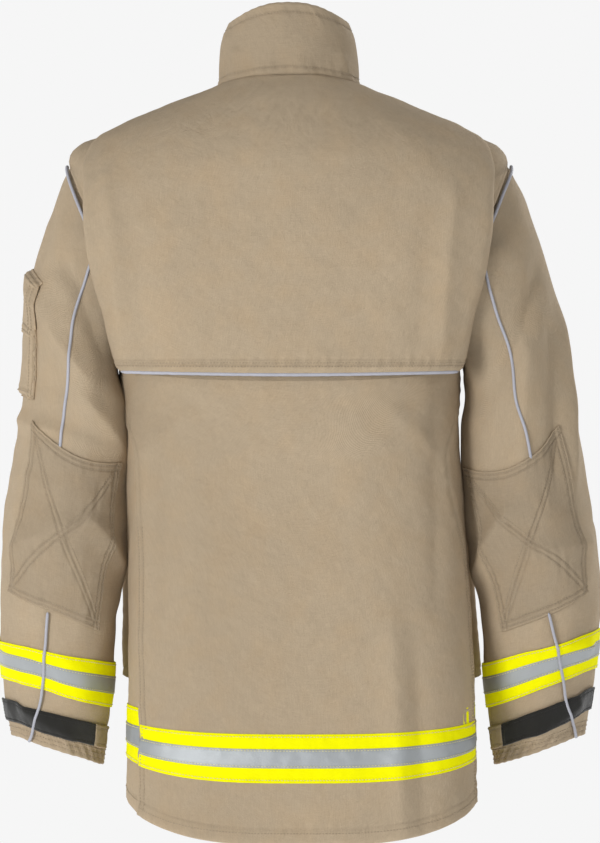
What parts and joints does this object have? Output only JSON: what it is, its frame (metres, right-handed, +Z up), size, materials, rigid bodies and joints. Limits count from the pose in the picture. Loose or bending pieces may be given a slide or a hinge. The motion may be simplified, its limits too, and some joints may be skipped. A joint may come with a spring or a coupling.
{
  "type": "turnout coat",
  "caption": "Firefighter's turnout coat with a stand-up collar, padded elbows, fluorescent and silver trim, and pockets.",
  "frame": {"origin": "bearing point of the hang loop, inside the nape of the neck", "axes": "+Z up as the coat hangs, the wearer faces -Y, +X is the wearer's left"},
  "size_m": [0.6418, 0.2926, 0.8835],
  "materials": {
    "shell_cloth": "matt twill, double stitched",
    "patch_cloth": "matt coated twill",
    "collar_cloth": "matt twill",
    "liner_cloth": "quilted",
    "fluorescent_tape": "fluorescent woven trim",
    "silver_tape": "retroreflective",
    "piping": "reflective piping",
    "loop_webbing": "woven webbing",
    "strap_tape": "hook and loop tape",
    "knit": "ribbed knit",
    "zip_tape": "moulded teeth on woven tape",
    "slider_metal": "satin"
  },
  "bodies": {
    "torso": {"back_panel": "shell_cloth", "back_liner": "liner_cloth", "back_tape": "fluorescent_tape", "back_silver": "silver_tape", "collar_back": "collar_cloth", "hang_loop": "loop_webbing", "back_overlay": "shell_cloth", "overlay_piping": "piping", "left_side_panel": "shell_cloth", "left_side_liner": "liner_cloth", "left_side_tape": "fluorescent_tape", "left_side_silver": "silver_tape", "left_armhole_piping": "piping", "left_cargo_pocket": "shell_cloth", "left_sleeve_head": "shell_cloth", "right_side_panel": "shell_cloth", "right_side_liner": "liner_cloth", "right_side_tape": "fluorescent_tape", "right_side_silver": "silver_tape", "right_armhole_piping": "piping", "right_cargo_pocket": "shell_cloth", "right_sleeve_head": "shell_cloth"},
    "left_upper_arm": {"left_upper_sleeve": "shell_cloth", "left_elbow_section": "shell_cloth", "left_elbow_patch": "patch_cloth", "left_arm_pocket": "shell_cloth"},
    "left_forearm": {"left_forearm_sleeve": "shell_cloth", "left_cuff_tape": "fluorescent_tape", "left_cuff_silver": "silver_tape", "left_cuff_strap": "strap_tape", "left_wristlet": "knit"},
    "left_cuff_tab": {"left_cuff_tab": "shell_cloth"},
    "left_front": {"left_front_panel": "shell_cloth", "left_collar_wing": "collar_cloth", "left_front_liner": "liner_cloth", "left_front_tape": "fluorescent_tape", "left_front_silver": "silver_tape", "left_zip_half": "zip_tape"},
    "left_pocket_flap": {"left_pocket_flap": "shell_cloth"},
    "right_upper_arm": {"right_upper_sleeve": "shell_cloth", "right_elbow_section": "shell_cloth", "right_elbow_patch": "patch_cloth"},
    "right_forearm": {"right_forearm_sleeve": "shell_cloth", "right_cuff_tape": "fluorescent_tape", "right_cuff_silver": "silver_tape", "right_cuff_strap": "strap_tape", "right_wristlet": "knit"},
    "right_cuff_tab": {"right_cuff_tab": "shell_cloth"},
    "right_front": {"right_front_panel": "shell_cloth", "right_collar_wing": "collar_cloth", "right_front_liner": "liner_cloth", "right_front_tape": "fluorescent_tape", "right_front_silver": "silver_tape", "right_zip_half": "zip_tape"},
    "right_pocket_flap": {"right_pocket_flap": "shell_cloth"},
    "storm_flap": {"storm_flap": "shell_cloth"},
    "throat_tab": {"throat_tab": "collar_cloth"},
    "zip_slider": {"zip_slider": "slider_metal"},
    "arm_flap": {"left_arm_flap": "shell_cloth"}
  },
  "joints": [
    {"name": "left_shoulder", "type": "hinge", "parent": "torso", "child": "left_upper_arm", "pos_m": [0.212, -0.048, -0.165], "axis": [0, -1, 0], "range_deg": [0, 80], "deforming": ["left_sleeve_head"]},
    {"name": "left_elbow", "type": "hinge", "parent": "left_upper_arm", "child": "left_forearm", "pos_m": [0.251, -0.043, -0.48], "axis": [-1, 0, 0], "range_deg": [0, 75], "deforming": ["left_elbow_section", "left_elbow_patch"]},
    {"name": "left_cuff_tab_lift", "type": "hinge", "parent": "left_forearm", "child": "left_cuff_tab", "pos_m": [0.2009, -0.07722, -0.70334], "axis": [0.0527, -0.3783, -0.9242], "range_deg": [0, 40]},
    {"name": "left_front_opening", "type": "hinge", "parent": "torso", "child": "left_front", "pos_m": [0.046, -0.128, -0.09], "axis": [-0.0718, 0.0836, 0.9939], "range_deg": [0, 55]},
    {"name": "left_pocket_flap_lift", "type": "hinge", "parent": "torso", "child": "left_pocket_flap", "pos_m": [0.15013, -0.16136, -0.4383], "axis": [-0.8288, -0.5596, 0], "range_deg": [0, 110]},
    {"name": "right_shoulder", "type": "hinge", "parent": "torso", "child": "right_upper_arm", "pos_m": [-0.212, -0.048, -0.165], "axis": [0, 1, 0], "range_deg": [0, 80], "deforming": ["right_sleeve_head"]},
    {"name": "right_elbow", "type": "hinge", "parent": "right_upper_arm", "child": "right_forearm", "pos_m": [-0.251, -0.043, -0.48], "axis": [-1, 0, 0], "range_deg": [0, 75], "deforming": ["right_elbow_section", "right_elbow_patch"]},
    {"name": "right_cuff_tab_lift", "type": "hinge", "parent": "right_forearm", "child": "right_cuff_tab", "pos_m": [-0.2009, -0.07722, -0.70334], "axis": [0.0527, 0.3783, 0.9242], "range_deg": [0, 40]},
    {"name": "right_front_opening", "type": "hinge", "parent": "torso", "child": "right_front", "pos_m": [-0.046, -0.128, -0.09], "axis": [-0.0718, -0.0836, -0.9939], "range_deg": [0, 55]},
    {"name": "right_pocket_flap_lift", "type": "hinge", "parent": "torso", "child": "right_pocket_flap", "pos_m": [-0.15013, -0.16136, -0.4383], "axis": [-0.8288, 0.5596, 0], "range_deg": [0, 110]},
    {"name": "storm_flap_opening", "type": "hinge", "parent": "left_front", "child": "storm_flap", "pos_m": [0.03711, -0.14673, -0.09319], "axis": [0.0012, 0.0918, 0.9958], "range_deg": [0, 88]},
    {"name": "throat_tab_opening", "type": "hinge", "parent": "left_front", "child": "throat_tab", "pos_m": [0.02898, -0.1214, -0.00636], "axis": [-0.0423, 0.0468, 0.998], "range_deg": [0, 88]},
    {"name": "zip_travel", "type": "slide", "parent": "left_front", "child": "zip_slider", "axis": [0, -0.0901, -0.9959], "range_m": [0, 0.57]},
    {"name": "arm_flap_lift", "type": "hinge", "parent": "left_upper_arm", "child": "arm_flap", "pos_m": [0.28963, -0.05104, -0.20801], "axis": [0, -1, 0], "range_deg": [0, 110]}
  ],
  "couplings": [
    {"joint": "storm_flap_opening", "follows": "right_front_opening", "ratio": 1.6},
    {"joint": "throat_tab_opening", "follows": "right_front_opening", "ratio": 1.6}
  ]
}
